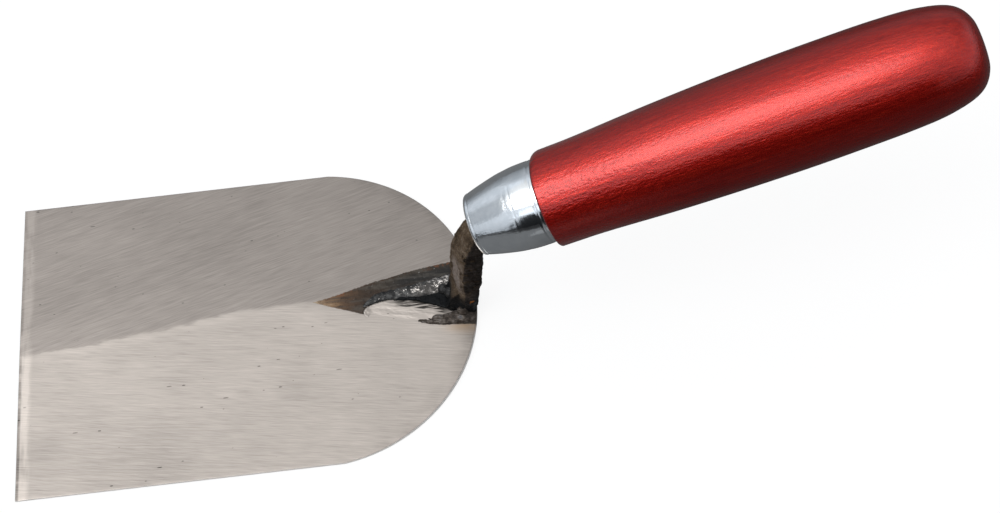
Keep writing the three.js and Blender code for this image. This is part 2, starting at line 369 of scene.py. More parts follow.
def make_floor():
    """Near white to the camera, with a faint shadow, and to all else a dim grey, lighter round the blade."""
    material = bpy.data.materials.new("floor")
    nodes = Nodes(material)
    paper = nodes.add("BsdfDiffuse", {"Color": (0.14, 0.14, 0.14, 1)})
    glow = nodes.add("Emission", {"Color": PALE, "Strength": 0.87})
    seen = nodes.add("AddShader", {0: paper, 1: glow})
    x, y, _ = nodes.split(nodes.add("TexCoord", output="Object"))
    from_blade = nodes.distance(nodes.math("MAXIMUM", x, 0.0), y)
    card = nodes.product(nodes.between(x, 0.06, 0.088, 0.003), nodes.between(y, -0.18, -0.112, 0.008))
    level = nodes.total(
        nodes.product(nodes.step(x, 0.05, 0.13, 0.18, 0.07), nodes.step(y, -0.4, -0.28, 0.2, 1.0)),
        nodes.step(from_blade, 0.0535, 0.0515, 0.0, 0.6),
        nodes.product(card, 0.13),
    )
    dim = nodes.add("BsdfDiffuse", {"Color": nodes.grey(level)})
    is_camera = nodes.add("LightPath", output="Is Camera Ray")
    out = nodes.tree.nodes.new("ShaderNodeOutputMaterial")
    nodes.put(out.inputs["Surface"], nodes.add("MixShader", {0: is_camera, 1: dim, 2: seen}))
    corners = [(x * FLOOR_REACH, y * FLOOR_REACH, FLOOR_TOP) for x, y in ((-1, -1), (1, -1), (1, 1), (-1, 1))]
    floor = make_piece("floor", corners, [(0, 1, 2, 3)], material, smooth=False)


# ---- Finishes ----

# One steel on both facets. The near facet's colour is lighter than the far one's: painted light, for the key
# that it catches more of.
STEEL_FAR_SHADED = (0.352, 0.318, 0.292, 1)
STEEL_NEAR_LIT = (0.445, 0.404, 0.37, 1)

# Where the ground facets meet, and the edges of the unground root between them, as (x, y).
RIDGE = [
    (-91.2, -2.6), (-82, -2.1), (-75, -1.8), (-70, -1.4), (-64, -0.7), (-58, 0.1), (-50, 0.6), (-44, 1.1),
    (-38, 1.9), (-33, 2.9), (-27, 3.9), (-20, 4.4), (-12, 4.2), (-5, 4.4), (0, 4.1), (52, 4.1),
]
ROOT_FAR_EDGE = [
    (-1, 3.8), (0, 4.1), (4.6, 4.9), (8.7, 5.9), (13.7, 7.3), (18.7, 8.7), (24, 9.7), (30, 11), (36.6, 12),
    (43, 12.8), (52, 13.6),
]
ROOT_NEAR_EDGE = [
    (-1, 4.2), (0, 4.0), (5, 1.9), (10, 0), (16.1, -2.4), (16.9, 0.4), (31, 0.4), (31.9, -6.8), (37, -8),
    (43, -9), (52, -10.3),
]
# Where the ground face of the near weld runs out into the blade's facet, and its upper edge, as (x, y).
GROUND_LOW = [(15.2, -1.6), (16.3, -2.5), (20, -3.7), (26, -5.3), (32, -7.0), (38, -7.4), (46, -4.9)]
GROUND_HIGH = [
    (15.2, -1.2), (15.8, -0.4), (16.6, 0.4), (18, 1.0), (20.7, 1.7), (23.8, 2.0), (26.6, 1.8), (31.4, 0.6),
    (36.2, -0.8), (39.8, -2.1), (43.7, -3.5), (46, -4.4),
]


def facet_scratches(nodes, place_mm, far, far_lean, near_lean, along, across):
    """Belt-grinding scratches. Each facet has its own lean, as (degrees, seed)."""
    def scratches(angle, seed):
        turned = nodes.mapped(place_mm, turn=(0, 0, math.radians(-angle)), shift=(seed, seed, 0))
        return nodes.noise(nodes.mapped(turned, scale=(along, across, 0)), 1.0, 2.0, 0.6, 0.25)
    return nodes.mix(far, scratches(*near_lean), scratches(*far_lean))


def pits_and_nicks(nodes, place_mm):
    """Specks drawn out a little along the scratches."""
    pit_place = nodes.mapped(place_mm, turn=(0, 0, math.radians(-9)), scale=(0.2, 0.5, 0))
    pit_choice = nodes.step(nodes.cells(pit_place, 1.0, output="Color"), 0.4, 1.0, kind="LINEAR")
    pits = nodes.math("LESS_THAN", nodes.cells(pit_place, 1.0), nodes.product(pit_choice, 0.13))
    nick_place = nodes.mapped(place_mm, turn=(0, 0, math.radians(-24)), scale=(0.12, 0.6, 0))
    nick_size = nodes.step(nodes.cells(nick_place, 1.0, output="Color"), 0.7, 1.0, 0.0, 0.16, kind="LINEAR")
    nicks = nodes.math("LESS_THAN", nodes.cells(nick_place, 1.0), nick_size)
    return nodes.math("MAXIMUM", pits, nicks)


def ground_weld_marks(nodes, place_mm, x, y, tone):
    """A bright rim at the left, and dark smears dragged along the upper right."""
    below = nodes.total(nodes.line(x, GROUND_HIGH), nodes.product(y, -1.0))
    drag_place = nodes.mapped(place_mm, scale=(0.1, 1.2, 0), turn=(0, 0, math.radians(17)))
    smear = nodes.product(
        nodes.step(nodes.noise(drag_place, 1.0, 3.0, 0.6), 0.38, 0.56), nodes.between(below, 0.2, 2.7, 0.3),
        nodes.step(x, 22, 28), nodes.step(x, 42, 39, 0.35, 1.0),
    )
    rim = nodes.product(nodes.step(below, 0.6, 0.25), nodes.step(x, 30, 25))
    return nodes.product(nodes.total(tone, nodes.product(rim, 0.4)), nodes.inverse(nodes.product(smear, 0.9)))


def root_scale(nodes, place_mm, x, y):
    """The unground root: where it is, its colour, relief and roughness, and the heat tint beside it."""
    edge_noise = nodes.centred(nodes.noise(nodes.mapped(place_mm, scale=(0.9, 0.9, 0)), 1.0, 4.0, 0.65))
    upper = nodes.total(nodes.line(x, ROOT_FAR_EDGE), nodes.product(y, -1.0), nodes.product(edge_noise, 0.9))
    lower = nodes.total(
        y, nodes.product(nodes.line(x, ROOT_NEAR_EDGE), -1.0), nodes.product(edge_noise, 0.5),
    )
    inside = nodes.product(
        nodes.step(upper, -0.15, 0.2), nodes.step(lower, -0.15, 0.2), nodes.step(x, -0.5, 0.5),
    )
    streak_place = nodes.mapped(place_mm, scale=(0.1, 0.75, 0), turn=(0, 0, math.radians(-17)))
    streaks = nodes.noise(streak_place, 1.0, 4.0, 0.6)
    mottle = nodes.noise(place_mm, 0.8, 5.0, 0.65)
    color = nodes.ramp(nodes.total(nodes.product(x, 1 / 52), nodes.product(nodes.centred(streaks), 0.3)), [
        (0.0, srgb(160, 144, 122)), (0.08, srgb(132, 106, 80)), (0.17, srgb(84, 64, 48)),
        (0.28, srgb(60, 48, 38)), (0.5, srgb(56, 50, 43)), (1.0, srgb(50, 44, 38)),
    ])
    near_bead = nodes.product(nodes.step(upper, 2.2, 4.4), nodes.step(x, 12, 17), nodes.step(x, 36, 26))
    color = nodes.mix(nodes.product(near_bead, 0.7), color, srgb(54, 40, 30))
    blue_band = nodes.product(nodes.between(upper, 1.6, 4.6, 0.8), nodes.step(x, 20, 30))
    color = nodes.mix(nodes.product(blue_band, 0.75), color, srgb(34, 35, 36))
    color = nodes.mix(nodes.product(nodes.step(streaks, 0.45, 0.65), 0.35), color, srgb(98, 93, 86))
    rusty_rim = nodes.product(
        nodes.step(upper, 1.6, 0.1), nodes.step(mottle, 0.46, 0.7),
        nodes.total(nodes.between(x, 6, 12, 3), nodes.step(x, 33, 38), 0.15),
    )
    color = nodes.mix(nodes.product(rusty_rim, 0.85), color, srgb(158, 98, 62))
    spatter = nodes.product(
        nodes.step(nodes.noise(place_mm, 1.5, 3.0, 0.6), 0.66, 0.7), nodes.step(upper, 5.0, 1.0),
        nodes.step(x, 5, 14),
    )
    color = nodes.mix(nodes.product(spatter, 0.6), color, srgb(150, 150, 146))
    color = nodes.mix(nodes.step(mottle, 0.52, 0.68, 0.0, 0.55), color, srgb(38, 34, 32))
    relief = nodes.total(nodes.product(mottle, 14.0), nodes.product(streaks, 8.0), -11.0)
    rough = nodes.step(mottle, 0.3, 0.7, 0.05, 0.25)
    tint = nodes.product(
        nodes.step(lower, -4.5, -0.3), nodes.step(lower, 0.4, -0.2), nodes.step(x, 36, 46),
        nodes.step(streaks, 0.25, 0.65, 0.45, 1.0),
    )
    return inside, color, relief, rough, tint


def ground_steel(name, has_root):
    """Ground steel for the blade, which has the root's scale on it, or for the weld that is ground flush."""
    material, nodes, place_mm = new_finish(name)
    x, y, _ = nodes.split(place_mm)

    wobble = nodes.noise(nodes.mapped(place_mm, scale=(0.16, 0.5, 0)), 1.0, 2.0)
    feather = nodes.step(x, -92, 0, 5.0, 1.6, kind="LINEAR")
    above_ridge = nodes.total(
        y, nodes.product(nodes.line(x, RIDGE), -1.0), nodes.product(nodes.centred(wobble), feather),
    )
    far = nodes.step(above_ridge, -0.7, 0.6)
    fine = facet_scratches(nodes, place_mm, far, (16, 0), (-8, 31), 0.055, 2.1)
    broad = facet_scratches(nodes, place_mm, far, (19, 7), (-7, 17), 0.02, 0.45)
    micro = facet_scratches(nodes, place_mm, far, (13, 3), (-11, 5), 0.14, 4.4)
    clouds = nodes.noise(nodes.mapped(place_mm, scale=(0.035, 0.05, 0)), 1.0, 2.0)

    # A lighter burnished band behind the front edge, a worn dark edge, and a darker band along the heel's
    # rim.
    band_noise = nodes.noise(nodes.mapped(place_mm, scale=(0.5, 0.09, 0)), 1.0, 2.0)
    front_band = nodes.product(
        nodes.step(x, -86.6, -88.6), nodes.step(band_noise, 0.25, 0.62),
        nodes.step(y, -44, -16, 0.85, 1.0), nodes.step(far, 0, 1, 1.0, 0.7),
    )
    heel_rim_noise = nodes.noise(nodes.mapped(place_mm, scale=(0.12, 0.12, 0)), 1.0, 2.0)
    heel_rim_dark = nodes.product(
        nodes.step(nodes.distance(x, y), 44.5, 50.2), nodes.step(x, 8, 26), nodes.step(heel_rim_noise, 0.3, 0.65),
    )
    edge_noise = nodes.noise(nodes.mapped(place_mm, scale=(0, 0.14, 0)), 1.0, 3.0)
    worn_edge = nodes.product(
        nodes.step(x, -90.0, -90.6), nodes.step(y, 0, -6, 0.35, 1.0), nodes.step(edge_noise, 0.35, 0.5),
    )
    specks = pits_and_nicks(nodes, place_mm)
    tone = nodes.total(
        nodes.product(nodes.centred(fine), 0.4),
        nodes.product(nodes.centred(broad), 0.15),
        nodes.product(nodes.centred(micro), 0.6),
        nodes.product(nodes.centred(clouds), 0.3),
        # A lighter fringe just below the ridge is a painted glint, and the darker zones towards the front of
        # each facet are painted shade.
        nodes.product(nodes.between(above_ridge, -2.6, -0.5, 0.7), nodes.step(x, -5, -25), 0.05),
        nodes.product(nodes.step(y, -20, -40), nodes.step(x, -10, -45), -0.13),
        nodes.product(nodes.step(y, 2, 16), nodes.step(x, -2, -30), -0.06),
        1.0 if has_root else 0.94,
        nodes.product(front_band, 0.38),
        nodes.product(heel_rim_dark, -0.16),
        nodes.product(worn_edge, -0.6),
        nodes.product(specks, -0.5),
    )
    if not has_root:
        tone = ground_weld_marks(nodes, place_mm, x, y, tone)
    color = nodes.mix(1.0, nodes.mix(far, STEEL_NEAR_LIT, STEEL_FAR_SHADED), nodes.grey(tone), "MULTIPLY")

    height = nodes.total(
        fine, nodes.product(broad, 1.1), nodes.product(micro, 0.55), nodes.product(specks, -1.5),
    )
    rough = nodes.total(nodes.product(fine, 0.12), nodes.product(front_band, -0.05), 0.31)
    facing_up = nodes.split(nodes.add("NewGeometry", output="True Normal"))[2]
    # The side walls are painted a lighter, less metallic grey: painted light, in place of the dark floor that
    # they reflect.
    painted_light_wall = nodes.step(nodes.math("ABSOLUTE", facing_up), 0.8, 0.5)
    color = nodes.mix(nodes.product(painted_light_wall, 0.8), color, (0.76, 0.72, 0.68, 1))
    metal = 1.0
    if has_root:
        inside, scale_color, relief, added_rough, tint = root_scale(nodes, place_mm, x, y)
        color = nodes.mix(inside, color, scale_color)
        color = nodes.mix(nodes.product(tint, 0.6), color, srgb(176, 146, 112))
        height = nodes.total(nodes.product(height, nodes.inverse(inside)), nodes.product(inside, relief))
        rough = nodes.total(rough, nodes.product(inside, added_rough))
        metal = nodes.product(
            nodes.step(inside, 0.0, 1.0, 1.0, 0.55, kind="LINEAR"), nodes.step(painted_light_wall, 0, 1, 1.0, 0.1),
        )

    across_far, across_near = math.radians(15 + 90), math.radians(-10 + 90)
    tangent = nodes.mix(
        far,
        (math.cos(across_near), math.sin(across_near), 0, 1),
        (math.cos(across_far), math.sin(across_far), 0, 1),
    )
    shade(
        nodes, Base_Color=color, Metallic=metal, Roughness=rough, Anisotropic=0.75, Tangent=tangent,
        Normal=nodes.bump(height, 0.011),
    )
    return material


def weld_metal(name, tones, flecked):
    """A weld bead's finish in four tones. A flecked one has its high places rubbed bright."""
    material, nodes, place_mm = new_finish(name)
    x, y, z = nodes.split(place_mm)
    lumps = nodes.noise(place_mm, 0.45, 5.0, 0.62)
    grit = nodes.noise(place_mm, 2.4, 4.0, 0.7)
    _, facing_far, facing_up = nodes.split(nodes.add("NewGeometry", output="Normal"))
    color = nodes.ramp(lumps, list(zip((0.3, 0.46, 0.58, 0.72), tones)))
    metal, fleck = 0.5, 0.0
    if flecked:
        color = nodes.mix(nodes.step(z, 5.2, 6.2, 0.0, 0.7), color, srgb(34, 33, 33))
        rubbed = nodes.product(
            nodes.step(facing_up, 0.3, 0.75), nodes.between(x, 31.5, 42.5, 3), nodes.step(z, 5.7, 5.1),
            nodes.step(facing_far, 0.45, 0.1),
        )
        rubbed_color = nodes.mix(grit, srgb(42, 41, 40), srgb(112, 107, 103))
        color = nodes.mix(nodes.product(rubbed, 0.8), color, rubbed_color)
        bright = nodes.total(
            nodes.noise(nodes.mapped(place_mm, scale=(1.1, 1.9, 1.4)), 1.0, 4.0, 0.7),
            nodes.product(nodes.between(x, 37.5, 42.5, 1.5), nodes.step(y, 2.4, 4.2), 0.09),
            nodes.product(nodes.between(x, 31, 33.4, 0.7), nodes.between(y, 2.9, 4.2, 0.4), 0.12),
            nodes.product(nodes.between(x, 27.8, 29.2, 0.5), nodes.between(y, 3.0, 4.2, 0.4), 0.12),
            nodes.product(nodes.between(x, 30, 43, 2), nodes.step(facing_up, 0.6, 0.95), 0.03),
        )
        fleck = nodes.product(nodes.step(bright, 0.635, 0.67), nodes.step(z, 5.7, 5.1))
        color = nodes.mix(fleck, color, srgb(226, 220, 214))
        metal = nodes.step(fleck, 0, 1, 0.5, 1.0, kind="LINEAR")
    shade(
        nodes, Base_Color=color, Metallic=metal,
        Roughness=nodes.total(nodes.product(grit, 0.3), nodes.product(fleck, -0.1), 0.32),
        Normal=nodes.bump(nodes.total(nodes.product(lumps, 0.6), grit), 0.1),
    )
    return material


def forge_scale(name):
    material, nodes, place_mm = new_finish(name)
    x, y, z = nodes.split(place_mm)
    facing_back, _, facing_up = nodes.split(nodes.add("NewGeometry", output="Normal"))
    patches = nodes.noise(place_mm, 0.28, 5.0, 0.62)
    flakes = nodes.cells(nodes.mapped(place_mm, scale=(1, 1, 0.55)), 0.9, feature="SMOOTH_F1")
    grit = nodes.noise(place_mm, 2.2, 5.0, 0.7)
    mottle = nodes.total(nodes.product(patches, 0.7), nodes.product(grit, 0.3))
    lit_scale_brown = nodes.ramp(mottle, [
        (0.32, srgb(42, 33, 24)), (0.46, srgb(76, 62, 47)),
        (0.58, srgb(102, 86, 69)), (0.7, srgb(146, 132, 114)),
    ])
    shaded_scale_black = nodes.ramp(mottle, [
        (0.32, srgb(18, 14, 12)), (0.5, srgb(36, 28, 22)), (0.62, srgb(62, 50, 41)), (0.75, srgb(92, 80, 68)),
    ])
    # The faces turned to the front and up are painted a lit brown, and the bar's sides a shaded black:
    # painted light and shade on one scale.
    facing_light = nodes.math("MAXIMUM", nodes.product(facing_back, -1.0), facing_up)
    color = nodes.mix(nodes.step(facing_light, 0.2, 0.62), shaded_scale_black, lit_scale_brown)
    # A smoother grey patch low on the neck's front face.
    bare = nodes.product(
        nodes.step(facing_light, 0.4, 0.7), nodes.between(z, 16, 31, 3), nodes.between(y, -6, -1.4, 0.6),
        nodes.step(patches, 0.34, 0.48),
    )
    color = nodes.mix(nodes.product(bare, 0.85), color, srgb(150, 138, 130))
    # Loose light flakes of scale, most of them high on the neck.
    loose = nodes.product(
        nodes.step(nodes.noise(place_mm, 1.3, 4.0, 0.75), 0.6, 0.65), nodes.step(z, 12, 34, 0.3, 1.0),
        nodes.step(facing_light, 0.1, 0.5),
    )
    color = nodes.mix(nodes.product(loose, 0.6), color, srgb(158, 144, 122))
    # Darker blue-black steel low down, between the welds and round the neck's base: partly burnt steel,
    # partly painted shade where the foot sits deep between them.
    burnt_and_shade = nodes.step(nodes.total(z, nodes.product(grit, 6.0), nodes.product(x, -0.1)), 14.0, 7.0)
    color = nodes.mix(burnt_and_shade, color, nodes.mix(grit, srgb(8, 9, 10), srgb(26, 28, 30)))
    # One speck of rust on the near side.
    to_speck = nodes.add("VectorMath", {0: place_mm, 1: (48.9, -6.1, 10.4)}, "Value", operation="DISTANCE")
    speck = nodes.step(nodes.total(to_speck, grit), 1.5, 1.1)
    color = nodes.mix(speck, color, srgb(176, 106, 40))
    rough = nodes.total(nodes.step(patches, 0.3, 0.7, 0.66, 0.42), nodes.product(bare, -0.12))
    shade(
        nodes, Base_Color=color, Metallic=0.4, Roughness=rough, Specular_IOR_Level=0.2,
        Normal=nodes.bump(nodes.total(nodes.product(flakes, 0.8), nodes.product(grit, 0.9), patches), 0.2),
    )
    return material


def axis_place(nodes, place_mm):
    """Coordinates in millimetres along and across the handle's axis."""
    return nodes.mapped(place_mm, shift=tuple(HANDLE_FRONT), turn=tuple(AXIS_EULER), kind="TEXTURE")


def plated_steel(name):
    material, nodes, place_mm = new_finish(name)
    local = axis_place(nodes, place_mm)
    along = nodes.split(local)[0]
    rings = nodes.noise(nodes.mapped(local, scale=(2.4, 0.12, 0.12)), 1.0, 3.0, 0.6)
    drawn = nodes.noise(nodes.mapped(local, scale=(0.05, 0.75, 0.75)), 1.0, 3.0, 0.6)
    haze = nodes.noise(local, 0.35, 4.0, 0.6)
    grain = nodes.noise(local, 3.0, 3.0, 0.6)
    color = nodes.mix(nodes.step(haze, 0.3, 0.7), (0.72, 0.76, 0.79, 1), (0.8, 0.835, 0.86, 1))
    # The straight back end is polished, and the drawn front end is hazier.
    polished = nodes.step(along, -8.6, -7.2)
    rough = nodes.total(
        nodes.product(haze, 0.1), nodes.product(rings, 0.05), nodes.product(polished, -0.05), 0.06,
    )
    height = nodes.total(
        rings, nodes.product(haze, nodes.step(polished, 0, 1, 3.0, 1.4)), nodes.product(grain, 0.25),
        nodes.product(drawn, nodes.step(polished, 0, 1, 2.6, 0.6)),
    )
    shade(nodes, Base_Color=color, Metallic=1.0, Roughness=rough, Normal=nodes.bump(height, 0.02))
    return material


def lacquered_wood(name):
    material, nodes, place_mm = new_finish(name)
    local = axis_place(nodes, place_mm)
    along = nodes.split(local)[0]
    grain = nodes.noise(nodes.mapped(local, scale=(0.05, 0.9, 0.9)), 1.0, 4.0, 0.6, 0.3)
    dashes = nodes.noise(nodes.mapped(local, scale=(0.38, 1.7, 1.7)), 1.0, 4.0, 0.62)
    waves = nodes.noise(nodes.mapped(local, scale=(0.03, 0.16, 0.16)), 1.0, 2.0)
    fine_grain = nodes.noise(nodes.mapped(local, scale=(1.0, 3.2, 3.2)), 1.0, 3.0, 0.6)
    crinkle = nodes.noise(nodes.mapped(local, scale=(0.75, 1.0, 1.0)), 1.0, 1.5, 0.5, 0.2)
    color = nodes.ramp(nodes.total(nodes.product(grain, 0.55), nodes.product(dashes, 0.45)), [
        (0.33, (0.31, 0.003, 0.001, 1)), (0.5, (0.42, 0.008, 0.003, 1)), (0.67, (0.53, 0.018, 0.006, 1)),
    ])
    front_ring = nodes.step(along, 0.9, 0.1)
    color = nodes.mix(nodes.product(front_ring, 0.6), color, (0.1, 0.004, 0.005, 1))
    relief = nodes.total(
        nodes.product(dashes, 1.3), nodes.product(fine_grain, 0.55),
        nodes.product(crinkle, nodes.step(along, 60, 4, 0.6, 1.8)),
        nodes.product(grain, 0.5), nodes.product(waves, 2.0),
    )
    shade(
        nodes, Base_Color=color, Metallic=0.85, Roughness=nodes.total(nodes.product(dashes, 0.12), 0.31),
        Coat_Weight=0.9, Coat_Roughness=0.1, Coat_IOR=1.45,
        Normal=nodes.bump(relief, 0.08), Coat_Normal=nodes.bump(relief, 0.045),
    )
    return material


# ---- Blade ----

def blade_top(x, y):
    """Height of the blade's upper face."""
    near = follow([(p[0], p[1]) for p in ROOT_LINES], x)
    far = follow([(p[0], p[2]) for p in ROOT_LINES], x)
    height = follow([(p[0], p[3]) for p in ROOT_LINES], x)
    along = clamp((x - FRONT_X) / (SHOULDER_X - FRONT_X))
    edge = lerp(FRONT_EDGE_THICKNESS, SHOULDER_EDGE_THICKNESS, along)
    if y > far:
        height -= (height - edge) / (HALF_WIDTH - far) * (y - far)
    elif y < near:
        height -= (height - edge) / (HALF_WIDTH + near) * (near - y)
    else:
        depth = min(y - near, far - y)
        height += 0.05 * smoothstep(0, 1.5, depth) * ripple(x, y, 0, 1.6)
    return height + 0.02 * ripple(x, y, 0, 14) + 0.015 * ripple(x, y, 0, 5, 3)


def blade_rows():
    """The outline's far side, as (x, y, outward x, outward y), from the front corner to the heel."""
    side_steps, heel_steps = 66, 48
    rows = [(FRONT_X, HALF_WIDTH, -1, 1)]
    shoulder_y = math.sqrt(HEEL_RADIUS ** 2 - SHOULDER_X ** 2)
    for i in range(1, side_steps):
        t = i / side_steps
        rows.append((lerp(FRONT_X, SHOULDER_X, t), lerp(HALF_WIDTH, shoulder_y, t), 0, 1))
    start = math.atan2(shoulder_y, SHOULDER_X)
    end = math.radians(1.5)
    for i in range(heel_steps + 1):
        angle = lerp(start, end, i / heel_steps)
        across, along = math.cos(angle), math.sin(angle)
        rows.append((HEEL_RADIUS * across, HEEL_RADIUS * along, across, along))
    return rows


def make_blade(finish):
    rows = blade_rows()
    columns = 150
    inset = 0.25
    vertices, faces = [], []

    def point(i, j, d):
        """Row i, column j of the outline's grid when it is drawn in by d."""
        x, y, out_x, out_y = rows[i]
        across = 2 * j / columns - 1
        if 0 < j < columns:
            if i == 0:
                return x + d, across * (y - inset)
            if i == len(rows) - 1:
                return x - d, across * (y - inset)
        nick = 0.1 * max(0, ripple(x * 1.7, across * y, 0, 1.1, 5) - 0.25) if i < 3 or x > 30 else 0
        side = 1 if across > 0 else -1
        wide = 1.0 if j in (0, columns) else abs(across)
        return x - out_x * (d + nick), side * (y - out_y * d) * wide

    def add_grid(height_of):
        first = len(vertices)
        for i in range(len(rows)):
            for j in range(columns + 1):
                x, y = point(i, j, inset)
                vertices.append((x, y, height_of(x, y)))
        return first

    def index(first, i, j):
        return first + i * (columns + 1) + j

    top = add_grid(blade_top)
    bottom = add_grid(lambda x, y: 0.012 * max(0, ripple(x, y, 0, 9, 7)))
    for i in range(len(rows) - 1):
        for j in range(columns):
            a, b = (i, j), (i + 1, j)
            c, d = (i + 1, j + 1), (i, j + 1)
            faces.append(tuple(index(top, *k) for k in (a, b, c, d)))
            faces.append(tuple(index(bottom, *k) for k in (d, c, b, a)))

    last = len(rows) - 1
    border = [(0, j) for j in range(columns)] + [(i, columns) for i in range(last)]
    border += [(last, j) for j in range(columns, 0, -1)] + [(i, 0) for i in range(last, 0, -1)]
    steps = [(0.09, 0.012), (0.025, 0.045), (0.0, 0.12)]
    rings = [[index(top, *k) for k in border]]
    for d, drop in steps:
        rings.append([])
        for i, j in border:
            x, y = point(i, j, d)
            rings[-1].append(len(vertices))
            vertices.append((x, y, blade_top(*point(i, j, inset)) - drop))
    for d, drop in reversed(steps):
        rings.append([])
        for i, j in border:
            x, y = point(i, j, d)
            rings[-1].append(len(vertices))
            vertices.append((x, y, drop))
    rings.append([index(bottom, *k) for k in border])
    for ring, after in zip(rings, rings[1:]):
        for k in range(len(border)):
            following = (k + 1) % len(border)
            faces.append((ring[k], ring[following], after[following], after[k]))
    return make_piece("ground_blade", vertices, faces, finish)


# ---- Turned pieces ----

def revolve(name, profile, finish, segments, wander):
    """Turns a profile of (radius, along) round the handle's axis. A radius of 0 closes that end."""
    vertices, faces, rings = [], [], []
    for radius, along in profile:
        if radius < 1e-6:
            rings.append([len(vertices)] * segments)
            vertices.append(AXIS_TO_ROW @ Vector((along, 0, 0)))
            continue
        rings.append(list(range(len(vertices), len(vertices) + segments)))
        for k in range(segments):
            angle = 2 * math.pi * k / segments
            y, z = math.cos(angle), math.sin(angle)
            r = radius + wander(along, y, z, radius)
            vertices.append(AXIS_TO_ROW @ Vector((along, r * y, r * z)))
    for ring, after in zip(rings, rings[1:]):
        for k in range(segments):
            n = (k + 1) % segments
            corners = []
            for v in (ring[k], ring[n], after[n], after[k]):
                if v not in corners:
                    corners.append(v)
            if len(corners) > 2:
                faces.append(tuple(corners))
    return make_piece(name, vertices, faces, finish)


def make_handle(finish):
    corner = HANDLE_CORNER_RADIUS
    fillet = [
        (HANDLE_FRONT_RADIUS - corner + corner * math.sin(a), corner - corner * math.cos(a))
        for a in (math.radians(18 * i) for i in range(5))
    ]
    swell = spline([
        (HANDLE_FRONT_RADIUS, corner), (14.05, 5), (14.25, 14), (15.4, 37), (16.1, 62), (16.2, 84),
        (15.9, 101), (14.9, 113), (12.3, 121.6), (7.2, 125.6), (0, HANDLE_LENGTH),
    ], 110)
    swell = [(max(p.x, 0), p.y) for p in swell]
    swell[-1] = (0, HANDLE_LENGTH)
    bore = [(0, BORE_DEPTH), (BORE_END_RADIUS, BORE_DEPTH), (BORE_MOUTH_RADIUS, -TENON_LENGTH)]
    tenon = [(TENON_RADIUS, -TENON_LENGTH), (10.6, -0.05), (12.3, 0)]

    def wander(along, y, z, radius):
        """Slight unevenness. The front corner is rounder on the far side than on the near side."""
        if radius < 12.2:
            return 0
        worn = smoothstep(-0.3, 0.9, y) * (3 - math.sqrt(max(0, 9 - (3 - min(along, 3)) ** 2)))
        swelling = 0.06 * ripple(along * 0.3, 14 * y, 14 * z, 6)
        return swelling - 0.8 * worn

    return revolve("turned_handle", bore + tenon + fillet + swell, finish, 144, wander)


def make_ferrule(finish):
    outer = [tuple(p) for p in spline([
        (12.2, -0.05), (12.22, -3.2), (12.12, -6.4), (11.86, -8.8), (11.47, -11.6), (10.42, -16.4),
        (9.35, -20.4),
    ], 70)]
    lip = [
        (9.3, -20.6), (9.27, -20.75), (9.22, -21.1), (9.05, -21.5), (8.75, -21.82), (8.35, -21.97),
        (8.0, -21.9), (7.8, -21.6), (7.8, -21.1),
    ]
    inner = [(radius - FERRULE_WALL, along) for radius, along in reversed(outer)]
    profile = outer + lip + inner + [outer[0]]

    def wander(along, y, z, radius):
        """A ring groove near the handle, a finer one behind the lip, and slight unevenness."""
        ring = 0.09 * smoothstep(0.4, 0.05, abs(along + 1.3)) if radius > 11.6 else 0
        groove = 0.06 * smoothstep(0.3, 0.0, abs(along + 20.65)) if radius > 9 else 0
        return -ring - groove + 0.02 * ripple(along, 10 * y, 10 * z, 5)

    return revolve("drawn_ferrule", list(reversed(profile)), finish, 128, wander)


# ---- Forged and welded pieces ----

def ridge(stations, base, boxy=0.7, steps=60, segments=16):
    """A closed bead along X through (x, near y, far y, top z) stations, as vertices and faces."""
    vertices, faces = [], []
    for x, near, far, top in spline(stations, steps):
        for k in range(segments + 1):
            angle = math.pi * k / segments
            y = lerp(near, far, 0.5 - 0.5 * math.cos(angle))
            vertices.append((x, y, base + (top - base) * max(0, math.sin(angle)) ** boxy))
    ring = segments + 1
    for i in range(steps):
        for k in range(ring):
            n = (k + 1) % ring
            faces.append((i * ring + k, i * ring + n, (i + 1) * ring + n, (i + 1) * ring + k))
    faces.append(tuple(range(ring))[::-1])
    faces.append(tuple(steps * ring + k for k in range(ring)))
    return vertices, faces


def drop(x, y, z, along, across, high):
    """One closed ellipsoid of weld metal, as vertices and faces."""
    vertices, faces = [(x, y, z - high)], []
    rows, ring = 10, 20
    for i in range(1, rows):
        for k in range(ring):
            lift, turn = math.pi * i / rows, 2 * math.pi * k / ring
            wide = math.sin(lift)
            at_x, at_y = x + along * wide * math.cos(turn), y + across * wide * math.sin(turn)
            vertices.append((at_x, at_y, z - high * math.cos(lift)))
    vertices.append((x, y, z + high))
    last = len(vertices) - 1
    for k in range(ring):
        n = (k + 1) % ring
        faces.append((0, 1 + n, 1 + k))
        faces.append((last, last - ring + k, last - ring + n))
        for i in range(rows - 2):
            a = 1 + i * ring
            faces.append((a + k, a + n, a + ring + n, a + ring + k))
    return vertices, faces


def cad_shape(node):
    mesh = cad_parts[node].data
    return [tuple(v.co / MM) for v in mesh.vertices], [tuple(p.vertices) for p in mesh.polygons]


